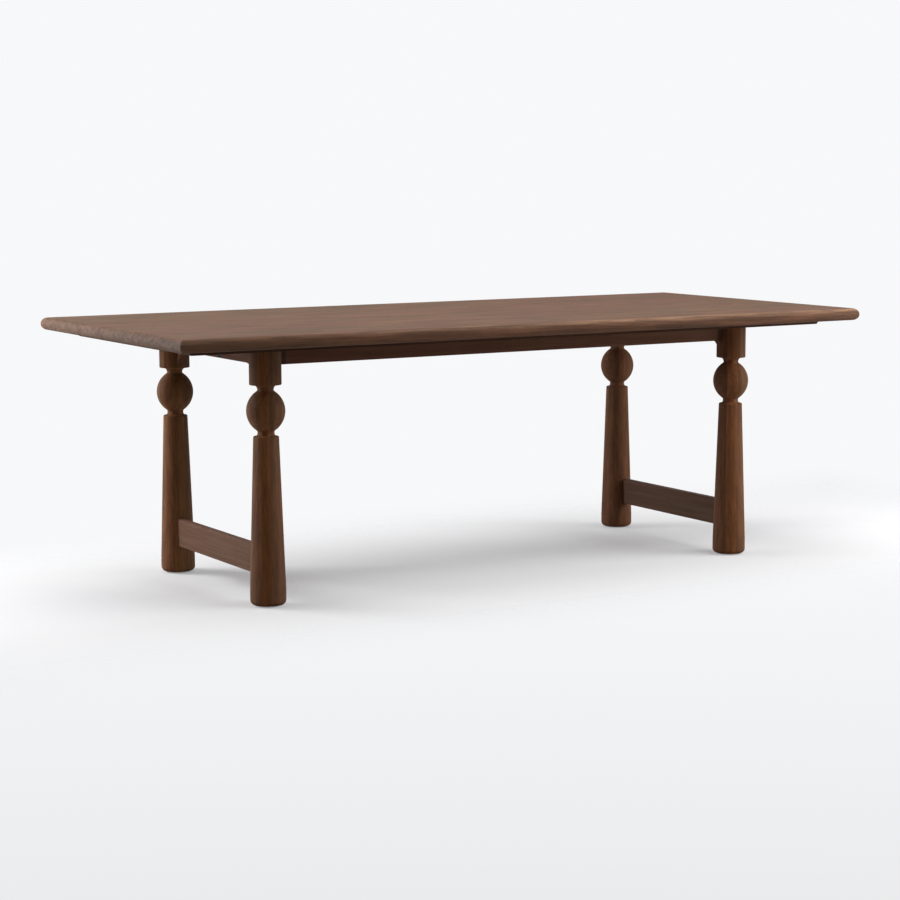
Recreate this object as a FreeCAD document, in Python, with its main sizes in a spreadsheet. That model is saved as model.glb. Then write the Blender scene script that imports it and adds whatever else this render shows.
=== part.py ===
import FreeCAD, Part
import math
import os
import Sketcher

# Driving dimensions in millimetres, and the counts of what repeats
SIZES = {
    # the whole table
    "top_length": 2266.0,
    "top_width": 1016.0,
    "table_height": 762.0,
    # top panel of edge-glued boards
    "top_thickness": 37.0,
    "top_edge_round": 18.0,
    "top_under_round": 17.0,
    "board_count": 8,
    # dark frame between the top and the base
    "frame_thickness": 15.0,
    "frame_end_inset": 72.0,
    "frame_side_inset": 108.0,
    "frame_rail_width": 190.0,
    "frame_end_bevel": 7.0,
    "end_member_width": 150.0,
    "cross_member_width": 120.0,
    # places of the four legs
    "leg_end_inset": 338.0,
    "leg_side_inset": 201.0,
    # turned leg, from the block down to the foot
    "block_radius": 44.5,
    "block_height": 97.5,
    "block_edge_round": 2.0,
    "neck_radius": 22.5,
    "neck_cove": 13.5,
    "ball_radius": 53.7,
    "ball_outline_radius": 65.0,
    "ball_cove": 5.0,
    "ball_drop": 72.0,
    "collar_radius": 23.3,
    "collar_cove": 8.0,
    "shoulder_drop": 69.5,
    "shoulder_round": 3.5,
    "shaft_top_radius": 35.6,
    "foot_radius": 50.0,
    "foot_straight": 45.0,
    "foot_round": 14.0,
    # aprons and the cross rail between them
    "apron_height": 44.0,
    "apron_thickness": 20.0,
    "apron_edge_round": 2.0,
    "apron_cove_length": 55.0,
    "apron_cove_drop": 45.0,
    "apron_cove_lip": 3.0,
    "apron_seat": 30.0,
    # low stretchers in the leg frames
    "stretcher_bottom": 83.2,
    "stretcher_height": 81.0,
    "stretcher_thickness": 22.0,
    "stretcher_outset": 6.0,
    "stretcher_edge_round": 1.5,
    "stretcher_seat": 32.0,
    # clearances
    "glue_fit": 0.15,
    "knock_down_fit": 0.8,
    "hole_fit": 0.1,
    "overrun": 20.0,
    # dowels
    "large_dowel_radius": 5.0,
    "large_dowel_length": 44.0,
    "stretcher_dowel_spacing": 44.0,
    "dowel_radius": 4.0,
    "dowel_length": 40.0,
    "apron_dowel_spacing": 24.0,
    "frame_dowel_spacing": 70.0,
    "short_dowel_length": 30.0,
    "short_dowel_in_apron": 12.0,
    # bolts that hold the dark frame to the top
    "top_bolt_radius": 4.0,
    "top_bolt_length": 30.0,
    "top_bolt_head_radius": 7.0,
    "top_bolt_head_height": 5.6,
    "top_bolt_crown_radius": 3.8,
    "top_bolt_dome_radius": 6.0,
    "top_bolt_socket_radius": 2.9,
    "top_bolt_socket_depth": 2.6,
    "top_bolt_play": 1.0,
    "flat_washer_radius": 10.0,
    "flat_washer_thickness": 1.8,
    "spring_washer_radius": 6.8,
    "spring_washer_thickness": 2.0,
    "top_insert_radius": 6.0,
    "top_insert_length": 16.0,
    "outer_bolt_end_inset": 173.0,
    "outer_bolt_edge": 30.0,
    "inner_bolt_margin": 35.0,
    "inner_bolt_spacing": 480.0,
    # bolts up through the aprons
    "apron_bolt_radius": 3.0,
    "apron_bolt_length": 45.0,
    "apron_bolt_head_radius": 5.0,
    "apron_bolt_head_height": 6.0,
    "apron_bolt_socket_radius": 2.9,
    "apron_bolt_socket_depth": 3.0,
    "apron_bolt_play": 0.5,
    "apron_washer_radius": 6.2,
    "apron_washer_thickness": 1.6,
    "counterbore_radius": 6.8,
    "counterbore_depth": 25.0,
    "apron_insert_radius": 5.0,
    "apron_insert_length": 14.0,
    "long_apron_bolt_place": 400.0,
    "end_apron_bolt_inset": 60.0,
    # steel corner brackets and what fastens them
    "bracket_thickness": 2.5,
    "bracket_height": 34.0,
    "bracket_web_place": 60.0,
    "bracket_flange_end": 118.0,
    "bracket_bend_round": 3.0,
    "hanger_bolt_radius": 4.0,
    "hanger_bolt_length": 74.0,
    "hanger_washer_radius": 8.5,
    "hanger_washer_thickness": 1.6,
    "hanger_nut_height": 6.5,
    "hanger_nut_radius": 7.5,
    "screw_radius": 2.0,
    "screw_length": 16.0,
    "screw_head_radius": 4.0,
    "screw_head_height": 2.4,
    "screw_edge": 9.0,
    "screw_spacing": 16.0,
    "screw_stagger": 8.0,
    # glides under the feet
    "glide_radius": 24.0,
    "glide_thickness": 2.5,
    "glide_edge_round": 1.2,
    "nail_radius": 1.5,
    "nail_length": 20.0,
    "nail_head_radius": 4.0,
    "nail_head_thickness": 1.0,
    "nail_head_lift": 0.4,
}

document = FreeCAD.newDocument("dining_table")
sheet = document.addObject("Spreadsheet::Sheet", "size")
for row, (alias, number) in enumerate(SIZES.items(), start=1):
    sheet.set(f"A{row}", alias)
    sheet.set(f"B{row}", str(number))
    sheet.setAlias(f"B{row}", alias)
document.recompute()

# Heights and places that several pieces share, as expressions on the sheet
TOP_UNDERSIDE = "(size.table_height - size.top_thickness)"
FRAME_UNDERSIDE = f"({TOP_UNDERSIDE} - size.frame_thickness)"
APRON_BOTTOM = f"({FRAME_UNDERSIDE} - size.apron_height)"
APRON_MIDDLE = f"({FRAME_UNDERSIDE} - size.apron_height / 2)"
STRETCHER_MIDDLE = "(size.stretcher_bottom + size.stretcher_height / 2)"
LEG_X = "(size.top_length / 2 - size.leg_end_inset)"
LEG_Y = "(size.top_width / 2 - size.leg_side_inset)"
FRAME_X = "(size.top_length / 2 - size.frame_end_inset)"
FRAME_Y = "(size.top_width / 2 - size.frame_side_inset)"
RAIL_Y = f"({FRAME_Y} - size.frame_rail_width / 2)"
RAIL_INNER_Y = f"({FRAME_Y} - size.frame_rail_width)"
STRETCHER_END = f"({LEG_Y} - size.stretcher_seat - size.glue_fit)"
END_APRON_END = f"({LEG_Y} - size.apron_seat - size.glue_fit)"
LONG_APRON_END = f"({LEG_X} - size.apron_seat - size.knock_down_fit)"
APRON_FACE = "(size.apron_thickness / 2)"

# Largest distance at which two places in the model count as one
CLOSE = 1e-6

sub_parts = []


def amount(expression):
    """The number that an expression on the sheet gives."""
    return float(sheet.evalExpression(str(expression)))


def keep(piece, label):
    """Names a sub-part and puts it on the list of pieces to write."""
    piece.Label = label
    sub_parts.append(piece)
    return piece


def set_down(piece, x="0", y="0", z="0", turn=0.0):
    """Places a piece by expressions, turned about the vertical by an angle in degrees."""
    piece.Placement = FreeCAD.Placement(FreeCAD.Vector(), FreeCAD.Rotation(FreeCAD.Vector(0, 0, 1), turn))
    for axis, place in zip("xyz", (x, y, z)):
        piece.setExpression(f"Placement.Base.{axis}", place)


def new_sketch(body, plane, name, lift="0", turn=0.0):
    """A sketch on one of the body's origin planes, lifted along and turned about the vertical."""
    sketch = body.newObject("Sketcher::SketchObject", name)
    support = [feature for feature in body.Origin.OriginFeatures if feature.Role == plane]
    sketch.AttachmentSupport = [(support[0], "")]
    sketch.MapMode = "FlatFace"
    rotation = FreeCAD.Rotation(FreeCAD.Vector(0, 1, 0), turn)
    sketch.AttachmentOffset = FreeCAD.Placement(FreeCAD.Vector(), rotation)
    sketch.setExpression("AttachmentOffset.Base.z", lift)
    return sketch


def arc_between(start, end, radius):
    """Arc from start to end; a positive radius has its centre to the left of the way."""
    across = end.sub(start)
    middle = start.add(end).multiply(0.5)
    left = FreeCAD.Vector(-across.y, across.x, 0).normalize()
    rise = math.sqrt(max(radius * radius - across.Length * across.Length / 4, 0))
    centre = middle.add(left.multiply(math.copysign(rise, radius)))
    first, last = (start, end) if radius > 0 else (end, start)
    angles = [math.atan2(point.y - centre.y, point.x - centre.x) for point in (first, last)]
    circle = Part.Circle(centre, FreeCAD.Vector(0, 0, 1), abs(radius))
    return Part.ArcOfCircle(circle, angles[0], angles[1])


def draw_outline(sketch, corners):
    """Closed outline whose corners are bound to the sheet.

    A corner is (across, up) or (across, up, radius), both as expressions; the radius belongs to the
    arc that leads to the next corner, with a minus sign where its centre lies to the right."""
    points = [FreeCAD.Vector(amount(corner[0]), amount(corner[1]), 0) for corner in corners]
    ends = []
    for number, corner in enumerate(corners):
        start = points[number]
        end = points[(number + 1) % len(points)]
        if len(corner) == 3:
            radius = amount(corner[2])
            edge = sketch.addGeometry(arc_between(start, end, radius), False)
            ends.append((edge, 1, 2) if radius > 0 else (edge, 2, 1))
            size = sketch.addConstraint(Sketcher.Constraint("Radius", edge, abs(radius)))
            sketch.setExpression(f"Constraints[{size}]", corner[2] if radius > 0 else f"-({corner[2]})")
        else:
            edge = sketch.addGeometry(Part.LineSegment(start, end), False)
            ends.append((edge, 1, 2))
    for number, (edge, first, last) in enumerate(ends):
        after = ends[(number + 1) % len(ends)]
        sketch.addConstraint(Sketcher.Constraint("Coincident", edge, last, after[0], after[1]))
        for kind, place, value in (
            ("DistanceX", corners[number][0], points[number].x),
            ("DistanceY", corners[number][1], points[number].y),
        ):
            size = sketch.addConstraint(Sketcher.Constraint(kind, -1, 1, edge, first, value))
            sketch.setExpression(f"Constraints[{size}]", place)


def draw_rectangle(sketch, left, right, low, high):
    """Rectangle between four expressions."""
    draw_outline(sketch, [(left, low), (right, low), (right, high), (left, high)])


def draw_circles(sketch, centres, radius):
    """Circles of one radius, with centres and radius bound to the sheet."""
    for across, up in centres:
        centre = FreeCAD.Vector(amount(across), amount(up), 0)
        circle = Part.Circle(centre, FreeCAD.Vector(0, 0, 1), amount(radius))
        edge = sketch.addGeometry(circle, False)
        for kind, place, value in (("DistanceX", across, centre.x), ("DistanceY", up, centre.y)):
            size = sketch.addConstraint(Sketcher.Constraint(kind, -1, 1, edge, 3, value))
            sketch.setExpression(f"Constraints[{size}]", place)
        size = sketch.addConstraint(Sketcher.Constraint("Radius", edge, amount(radius)))
        sketch.setExpression(f"Constraints[{size}]", radius)


def pad(body, sketch, length, symmetric=False):
    """Pads a sketch by a length, to both sides alike where symmetric."""
    feature = body.newObject("PartDesign::Pad", "pad")
    feature.Profile = sketch
    feature.SideType = "Symmetric" if symmetric else "One side"
    feature.setExpression("Length", length)
    return feature


def revolve(body, sketch):
    """Turns a sketch once round its own upright axis."""
    feature = body.newObject("PartDesign::Revolution", "turning")
    feature.Profile = sketch
    feature.ReferenceAxis = (sketch, ["V_Axis"])
    return feature


def pocket(body, sketch, depth, onward=False):
    """Cuts a sketch into the body, against its plane's normal, or along it where onward."""
    feature = body.newObject("PartDesign::Pocket", "pocket")
    feature.Profile = sketch
    feature.Reversed = onward
    feature.setExpression("Length", depth)
    return feature


def bore(body, plane, name, centres, radius, depth, lift="0", onward=False):
    """Round holes of one radius and depth, cut from a plane of the body."""
    sketch = new_sketch(body, plane, name, lift)
    draw_circles(sketch, centres, radius)
    return pocket(body, sketch, depth, onward)


def round_edges(body, chosen, radius):
    """Rounds those edges of the body's last feature that chosen() picks."""
    document.recompute()
    base = body.Tip
    names = [f"Edge{number}" for number, edge in enumerate(base.Shape.Edges, start=1) if chosen(edge)]
    feature = body.newObject("PartDesign::Fillet", "rounding")
    feature.Base = (base, names)
    feature.setExpression("Radius", radius)
    return feature


def level_at(height):
    """Test for a level edge at the height that an expression gives."""
    def test(edge):
        box = edge.BoundBox
        return box.ZLength < CLOSE and abs(box.ZMin - amount(height)) < CLOSE
    return test


def along(axis, height=None):
    """Test for a straight edge along one axis, at a given height where one is named."""
    def test(edge):
        box = edge.BoundBox
        lengths = {"X": box.XLength, "Y": box.YLength, "Z": box.ZLength}
        straight = lengths.pop(axis) > CLOSE and max(lengths.values()) < CLOSE
        return straight and (height is None or abs(box.ZMin - amount(height)) < CLOSE)
    return test


def standing_at(places):
    """Test for an upright edge at one of several places, given as pairs of expressions."""
    def test(edge):
        centre = edge.BoundBox.Center
        spans = [math.hypot(centre.x - amount(x), centre.y - amount(y)) for x, y in places]
        return along("Z")(edge) and min(spans) < CLOSE
    return test


# Top: one panel, rounded along its edges with mitred corners, then cut into its boards.
# The panel lies with its underside at height zero, and has the holes of all inserts.
OUTER_BOLT_X = "(size.top_length / 2 - size.outer_bolt_end_inset)"
OUTER_BOLT_Y = f"(-{FRAME_Y} + size.outer_bolt_edge)"
INNER_BOLT_Y = f"(-{RAIL_INNER_Y} - size.inner_bolt_margin)"
RAIL_BOLTS = [
    (f"(-{OUTER_BOLT_X})", OUTER_BOLT_Y),
    ("(-size.inner_bolt_spacing)", INNER_BOLT_Y),
    ("size.inner_bolt_spacing", INNER_BOLT_Y),
    (OUTER_BOLT_X, INNER_BOLT_Y),
]
END_BOLT = (
    f"(-{FRAME_X} + size.end_member_width / 2)",
    "(size.top_width / size.board_count / 2)",
)
TOP_BOLTS = RAIL_BOLTS + [END_BOLT]
TOP_BOLTS = TOP_BOLTS + [(f"(-{across})", f"(-{up})") for across, up in TOP_BOLTS]
LONG_APRON_BOLTS = [("(-size.long_apron_bolt_place)", "0"), ("size.long_apron_bolt_place", "0")]
END_APRON_BOLT_Y = f"({RAIL_INNER_Y} - size.end_apron_bolt_inset)"
END_APRON_BOLTS = [("0", f"(-{END_APRON_BOLT_Y})"), ("0", END_APRON_BOLT_Y)]
APRON_BOLTS = [(across, f"({side} * {LEG_Y})") for side in (-1, 1) for across, _ in LONG_APRON_BOLTS]
APRON_BOLTS += [(f"({side} * {LEG_X})", up) for side in (-1, 1) for _, up in END_APRON_BOLTS]


def make_top():
    """Boards of the top, each the share of one rounded panel that lies in its own box."""
    panel = document.addObject("PartDesign::Body", "top_panel")
    sketch = new_sketch(panel, "XY_Plane", "panel_outline")
    draw_rectangle(sketch, "-size.top_length / 2", "size.top_length / 2", "-size.top_width / 2",
                   "size.top_width / 2")
    pad(panel, sketch, "size.top_thickness")
    round_edges(panel, level_at("size.top_thickness"), "size.top_edge_round")
    round_edges(panel, level_at("0"), "size.top_under_round")
    bore(panel, "XY_Plane", "top_insert_holes", TOP_BOLTS,
         "size.top_insert_radius + size.hole_fit", "size.top_insert_length", onward=True)
    bore(panel, "XY_Plane", "apron_insert_holes", APRON_BOLTS,
         "size.apron_insert_radius + size.hole_fit", "size.apron_insert_length", onward=True)
    for number in range(int(amount("size.board_count"))):
        share = document.addObject("Part::Box", "board_share")
        share.setExpression("Length", "size.top_length + 2 * size.overrun")
        share.setExpression("Width", "size.top_width / size.board_count")
        share.setExpression("Height", "size.top_thickness + 2 * size.overrun")
        share.setExpression("Placement.Base.x", "-size.top_length / 2 - size.overrun")
        share.setExpression("Placement.Base.y", f"size.top_width * ({number} / size.board_count - 1 / 2)")
        share.setExpression("Placement.Base.z", "-size.overrun")
        board = document.addObject("Part::Common", "board")
        board.Base = panel
        board.Tool = share
        set_down(board, z=TOP_UNDERSIDE)
        keep(board, f"top_board_{number + 1}")


# Dark frame: two long rails with bevelled ends, joined by five cross members.
CROSS_PLACES = [f"(-{FRAME_X} + size.end_member_width / 2)", f"(-{LEG_X})", "0", LEG_X,
                f"({FRAME_X} - size.end_member_width / 2)"]
FRAME_DOWELS = [
    f"({place} + {side} * size.frame_dowel_spacing / 2)" for place in CROSS_PLACES for side in (-1, 1)
]
BOLT_HOLE = "size.top_bolt_radius + size.top_bolt_play"
APRON_BOLT_HOLE = "size.apron_bolt_radius + size.apron_bolt_play"
DOWEL_HOLE = "size.dowel_radius + size.hole_fit"
DOWEL_DEPTH = "size.dowel_length / 2 + size.hole_fit"
FRAME_MIDDLE = f"({FRAME_UNDERSIDE} + size.frame_thickness / 2)"


def make_frame_rail(label, turn):
    """Long rail of the dark frame, drawn for the front; the back one is the same turned round."""
    body = document.addObject("PartDesign::Body", label)
    sketch = new_sketch(body, "XZ_Plane", "rail_outline")
    bevel_x = f"({FRAME_X} - size.frame_end_bevel)"
    bevel_z = f"({FRAME_UNDERSIDE} + size.frame_end_bevel)"
    draw_outline(sketch, [
        (f"-{bevel_x}", FRAME_UNDERSIDE),
        (bevel_x, FRAME_UNDERSIDE),
        (FRAME_X, bevel_z),
        (FRAME_X, TOP_UNDERSIDE),
        (f"-{FRAME_X}", TOP_UNDERSIDE),
        (f"-{FRAME_X}", bevel_z),
    ])
    pad(body, sketch, "size.frame_rail_width", symmetric=True)
    bolts = [(across, f"({up} + {RAIL_Y})") for across, up in RAIL_BOLTS]
    bore(body, "XY_Plane", "bolt_holes", bolts, BOLT_HOLE, "size.frame_thickness",
         lift=FRAME_UNDERSIDE, onward=True)
    aprons = [(across, f"({RAIL_Y} - {LEG_Y})") for across, _ in LONG_APRON_BOLTS]
    bore(body, "XY_Plane", "apron_bolt_holes", aprons, APRON_BOLT_HOLE, "size.frame_thickness",
         lift=FRAME_UNDERSIDE, onward=True)
    dowels = [(across, FRAME_MIDDLE) for across in FRAME_DOWELS]
    bore(body, "XZ_Plane", "dowel_holes", dowels, DOWEL_HOLE, DOWEL_DEPTH,
         lift="-size.frame_rail_width / 2", onward=True)
    set_down(body, y=f"-{RAIL_Y}" if turn == 0 else RAIL_Y, turn=turn)
    keep(body, label)


def make_cross_member(label, place, width, bevelled, bolts, bolt_hole, turn):
    """Cross member of the dark frame between the rails, bevelled on its outer side where at an end."""
    body = document.addObject("PartDesign::Body", label)
    sketch = new_sketch(body, "XZ_Plane", "member_outline")
    half = f"({width} / 2)"
    bevel = "size.frame_end_bevel" if bevelled else "0"
    corners = [(half, FRAME_UNDERSIDE), (half, TOP_UNDERSIDE), (f"-{half}", TOP_UNDERSIDE)]
    if bevelled:
        corners.append((f"-{half}", f"({FRAME_UNDERSIDE} + {bevel})"))
    corners.append((f"-{half} + {bevel}", FRAME_UNDERSIDE))
    draw_outline(sketch, corners)
    pad(body, sketch, f"2 * {RAIL_INNER_Y}", symmetric=True)
    if bolts:
        bore(body, "XY_Plane", "bolt_holes", bolts, bolt_hole, "size.frame_thickness",
             lift=FRAME_UNDERSIDE, onward=True)
    dowels = [(f"({side} * size.frame_dowel_spacing / 2)", FRAME_MIDDLE) for side in (-1, 1)]
    bore(body, "XZ_Plane", "front_dowel_holes", dowels, DOWEL_HOLE, DOWEL_DEPTH, lift=RAIL_INNER_Y)
    bore(body, "XZ_Plane", "back_dowel_holes", dowels, DOWEL_HOLE, DOWEL_DEPTH,
         lift=f"-{RAIL_INNER_Y}", onward=True)
    set_down(body, x=place, turn=turn)
    keep(body, label)


# Turned leg: every height is counted from the dark frame down, so only the shaft grows with the table.
BLOCK_BOTTOM = f"({FRAME_UNDERSIDE} - size.block_height)"
NECK = f"({BLOCK_BOTTOM} - size.neck_cove)"
BALL_CENTRE = f"({BLOCK_BOTTOM} - size.ball_drop)"
SHOULDER = f"({BALL_CENTRE} - size.shoulder_drop)"
BALL_AXIS_SHIFT = "(size.ball_outline_radius - size.ball_radius)"
FOOT = "size.glide_thickness"


def cove_to_ball(radius):
    """Small cove between the ball and a neck of a radius, touching both.

    Gives its radius at the ball, and its heights above the ball's centre at the ball and at the neck."""
    share = "size.ball_outline_radius / (size.ball_outline_radius + size.ball_cove)"
    across = f"({radius} + size.ball_cove + {BALL_AXIS_SHIFT})"
    up = f"sqrt((size.ball_outline_radius + size.ball_cove) ^ 2 - {across} ^ 2)"
    return f"({across} * {share} - {BALL_AXIS_SHIFT})", f"({up} * {share})", up


def make_leg(label, side, x, y, turn):
    """Turned leg, drawn for the front; side is 1 where the long apron leaves towards +X, else -1."""
    body = document.addObject("PartDesign::Body", label)
    sketch = new_sketch(body, "XZ_Plane", "turned_outline")
    low_radius, low_ball, low_neck = cove_to_ball("size.collar_radius")
    high_radius, high_ball, high_neck = cove_to_ball("size.neck_radius")
    draw_outline(sketch, [
        ("0", FOOT),
        ("size.foot_radius - size.foot_round", FOOT, "size.foot_round"),
        ("size.foot_radius", f"{FOOT} + size.foot_round"),
        ("size.foot_radius", "size.foot_straight"),
        ("size.shaft_top_radius", f"{SHOULDER} - size.shoulder_round", "size.shoulder_round"),
        ("size.shaft_top_radius - size.shoulder_round", SHOULDER),
        ("size.collar_radius + size.collar_cove", SHOULDER, "-size.collar_cove"),
        ("size.collar_radius", f"{SHOULDER} + size.collar_cove"),
        ("size.collar_radius", f"{BALL_CENTRE} - {low_neck}", "-size.ball_cove"),
        (low_radius, f"{BALL_CENTRE} - {low_ball}", "size.ball_outline_radius"),
        (high_radius, f"{BALL_CENTRE} + {high_ball}", "-size.ball_cove"),
        ("size.neck_radius", f"{BALL_CENTRE} + {high_neck}"),
        ("size.neck_radius", NECK, "-size.neck_cove"),
        ("size.neck_radius + size.neck_cove", BLOCK_BOTTOM),
        ("size.block_radius - size.block_edge_round", BLOCK_BOTTOM, "size.block_edge_round"),
        ("size.block_radius", f"{BLOCK_BOTTOM} + size.block_edge_round"),
        ("size.block_radius", FRAME_UNDERSIDE),
        ("0", FRAME_UNDERSIDE),
    ])
    revolve(body, sketch)
    # housings of the two aprons, open at the top of the block
    far = "(size.block_radius + size.overrun)"
    loose = f"({APRON_FACE} + size.knock_down_fit)"
    tight = f"({APRON_FACE} + size.glue_fit)"
    near_x, far_x = ("size.apron_seat", far) if side > 0 else (f"-{far}", "-size.apron_seat")
    long_housing = new_sketch(body, "XY_Plane", "long_apron_housing", APRON_BOTTOM)
    draw_rectangle(long_housing, near_x, far_x, f"-{loose}", loose)
    pocket(body, long_housing, "size.apron_height", onward=True)
    end_housing = new_sketch(body, "XY_Plane", "end_apron_housing", APRON_BOTTOM)
    draw_rectangle(end_housing, f"-{tight}", tight, "size.apron_seat", far)
    pocket(body, end_housing, "size.apron_height", onward=True)
    # housing of the stretcher, and the dowel holes behind both glued joints
    outset = f"({-side} * size.stretcher_outset)"
    half = "(size.stretcher_thickness / 2 + size.glue_fit)"
    stretcher_housing = new_sketch(body, "XZ_Plane", "stretcher_housing", "-size.stretcher_seat")
    draw_rectangle(stretcher_housing, f"{outset} - {half}", f"{outset} + {half}",
                   "size.stretcher_bottom - size.glue_fit",
                   "size.stretcher_bottom + size.stretcher_height + size.glue_fit")
    pocket(body, stretcher_housing, "size.foot_radius")
    bore(body, "XZ_Plane", "stretcher_dowel_holes",
         [(outset, f"{STRETCHER_MIDDLE} + {way} * size.stretcher_dowel_spacing / 2") for way in (-1, 1)],
         "size.large_dowel_radius + size.hole_fit", "size.large_dowel_length / 2",
         lift="-size.stretcher_seat", onward=True)
    bore(body, "XZ_Plane", "apron_dowel_holes",
         [("0", f"{APRON_MIDDLE} + {way} * size.apron_dowel_spacing / 2") for way in (-1, 1)],
         DOWEL_HOLE, "size.dowel_length / 2", lift="-size.apron_seat", onward=True)
    # bore of the hanger bolt, towards the inside at 45 degrees, and the pilot hole of the glide's nail
    diagonal = new_sketch(body, "XZ_Plane", "hanger_bolt_bore", turn=-45.0 * side)
    draw_circles(diagonal, [("0", APRON_MIDDLE)], "size.hanger_bolt_radius + size.hole_fit")
    pocket(body, diagonal, far)
    bore(body, "XY_Plane", "nail_hole", [("0", "0")], "size.nail_radius + size.hole_fit",
         "size.nail_length", lift=FOOT, onward=True)
    set_down(body, x, y, turn=turn)
    keep(body, label)


# Aprons and the cross rail: boards on edge, eased along their lower edges.
SCREW_PLACES = [
    f"(size.bracket_flange_end - size.screw_edge - {number} * size.screw_spacing)" for number in (0, 1)
]
SCREW_HEIGHTS = [f"({APRON_MIDDLE} + {way} * size.screw_stagger / 2)" for way in (1, -1)]
SCREW_HOLE = "size.screw_radius + size.hole_fit"
SCREW_DEPTH = "size.screw_length - size.bracket_thickness"


def make_long_apron(label, turn):
    """Long apron between the leg frames, drawn for the front; the back one is the same turned round."""
    body = document.addObject("PartDesign::Body", label)
    sketch = new_sketch(body, "XZ_Plane", "apron_outline")
    draw_rectangle(sketch, f"-{LONG_APRON_END}", LONG_APRON_END, APRON_BOTTOM, FRAME_UNDERSIDE)
    pad(body, sketch, "size.apron_thickness", symmetric=True)
    round_edges(body, along("X", APRON_BOTTOM), "size.apron_edge_round")
    bore(body, "XY_Plane", "counterbores", LONG_APRON_BOLTS, "size.counterbore_radius",
         "size.counterbore_depth", lift=APRON_BOTTOM, onward=True)
    bore(body, "XY_Plane", "bolt_holes", LONG_APRON_BOLTS, APRON_BOLT_HOLE, "size.apron_height",
         lift=APRON_BOTTOM, onward=True)
    dowels = [("0", f"{APRON_MIDDLE} + {way} * size.apron_dowel_spacing / 2") for way in (-1, 1)]
    bore(body, "XZ_Plane", "dowel_holes", dowels, DOWEL_HOLE, "size.short_dowel_in_apron",
         lift=f"-{APRON_FACE}", onward=True)
    screws = [(f"({way} * ({LEG_X} - {place}))", height)
              for way in (-1, 1) for place, height in zip(SCREW_PLACES, SCREW_HEIGHTS)]
    bore(body, "XZ_Plane", "screw_holes", screws, SCREW_HOLE, SCREW_DEPTH,
         lift=f"-{APRON_FACE}", onward=True)
    set_down(body, y=f"-{LEG_Y}" if turn == 0 else LEG_Y, turn=turn)
    keep(body, label)


def make_end_apron(label, turn):
    """Apron glued between the two legs of a frame, its lower edge coved down to each leg's block."""
    body = document.addObject("PartDesign::Body", label)
    sketch = new_sketch(body, "YZ_Plane", "apron_outline")
    cove = "((size.apron_cove_length ^ 2 + size.apron_cove_drop ^ 2) / (2 * size.apron_cove_drop))"
    block = f"({LEG_Y} - sqrt(size.block_radius ^ 2 - {APRON_FACE} ^ 2))"
    lip = f"({block} - size.apron_cove_lip)"
    spring = f"({lip} - size.apron_cove_length)"
    low = f"({APRON_BOTTOM} - size.apron_cove_drop)"
    draw_outline(sketch, [
        (f"-{END_APRON_END}", APRON_BOTTOM),
        (f"-{block}", APRON_BOTTOM),
        (f"-{block}", low),
        (f"-{lip}", low, f"-{cove}"),
        (f"-{spring}", APRON_BOTTOM),
        (spring, APRON_BOTTOM, f"-{cove}"),
        (lip, low),
        (block, low),
        (block, APRON_BOTTOM),
        (END_APRON_END, APRON_BOTTOM),
        (END_APRON_END, FRAME_UNDERSIDE),
        (f"-{END_APRON_END}", FRAME_UNDERSIDE),
    ])
    pad(body, sketch, "size.apron_thickness", symmetric=True)
    coping = new_sketch(body, "XY_Plane", "coping_to_the_blocks", APRON_BOTTOM)
    draw_circles(coping, [("0", f"({way} * {LEG_Y})") for way in (-1, 1)],
                 "size.block_radius + size.glue_fit")
    pocket(body, coping, "size.apron_cove_drop + size.overrun")
    bore(body, "XY_Plane", "counterbores", END_APRON_BOLTS, "size.counterbore_radius",
         "size.counterbore_depth", lift=APRON_BOTTOM, onward=True)
    bore(body, "XY_Plane", "bolt_holes", END_APRON_BOLTS, APRON_BOLT_HOLE, "size.apron_height",
         lift=APRON_BOTTOM, onward=True)
    screws = [(f"({way} * ({LEG_Y} - {place}))", height)
              for way in (-1, 1) for place, height in zip(SCREW_PLACES, SCREW_HEIGHTS)]
    bore(body, "YZ_Plane", "screw_holes", screws, SCREW_HOLE, SCREW_DEPTH, lift=APRON_FACE)
    end_dowel_holes(body, END_APRON_END, "0", APRON_MIDDLE, "size.apron_dowel_spacing", DOWEL_HOLE,
                    DOWEL_DEPTH)
    set_down(body, x=f"-{LEG_X}" if turn == 0 else LEG_X, turn=turn)
    keep(body, label)


def end_dowel_holes(body, end, across, middle, spacing, radius, depth):
    """A pair of dowel holes, one above the other, in each end of a rail that lies along Y."""
    places = [(across, f"({middle} + {way} * {spacing} / 2)") for way in (-1, 1)]
    bore(body, "XZ_Plane", "front_dowel_holes", places, radius, depth, lift=end)
    bore(body, "XZ_Plane", "back_dowel_holes", places, radius, depth, lift=f"-{end}", onward=True)


def make_stretcher(label, way):
    """Low stretcher of a leg frame, housed in both legs a little outside their middle."""
    body = document.addObject("PartDesign::Body", label)
    sketch = new_sketch(body, "YZ_Plane", "stretcher_outline")
    draw_rectangle(sketch, f"-{STRETCHER_END}", STRETCHER_END, "size.stretcher_bottom",
                   "size.stretcher_bottom + size.stretcher_height")
    pad(body, sketch, "size.stretcher_thickness", symmetric=True)
    round_edges(body, along("Y"), "size.stretcher_edge_round")
    end_dowel_holes(body, STRETCHER_END, "0", STRETCHER_MIDDLE, "size.stretcher_dowel_spacing",
                    "size.large_dowel_radius + size.hole_fit",
                    "size.large_dowel_length / 2 + size.glue_fit")
    set_down(body, x=f"{way} * ({LEG_X} + size.stretcher_outset)")
    keep(body, label)


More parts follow.
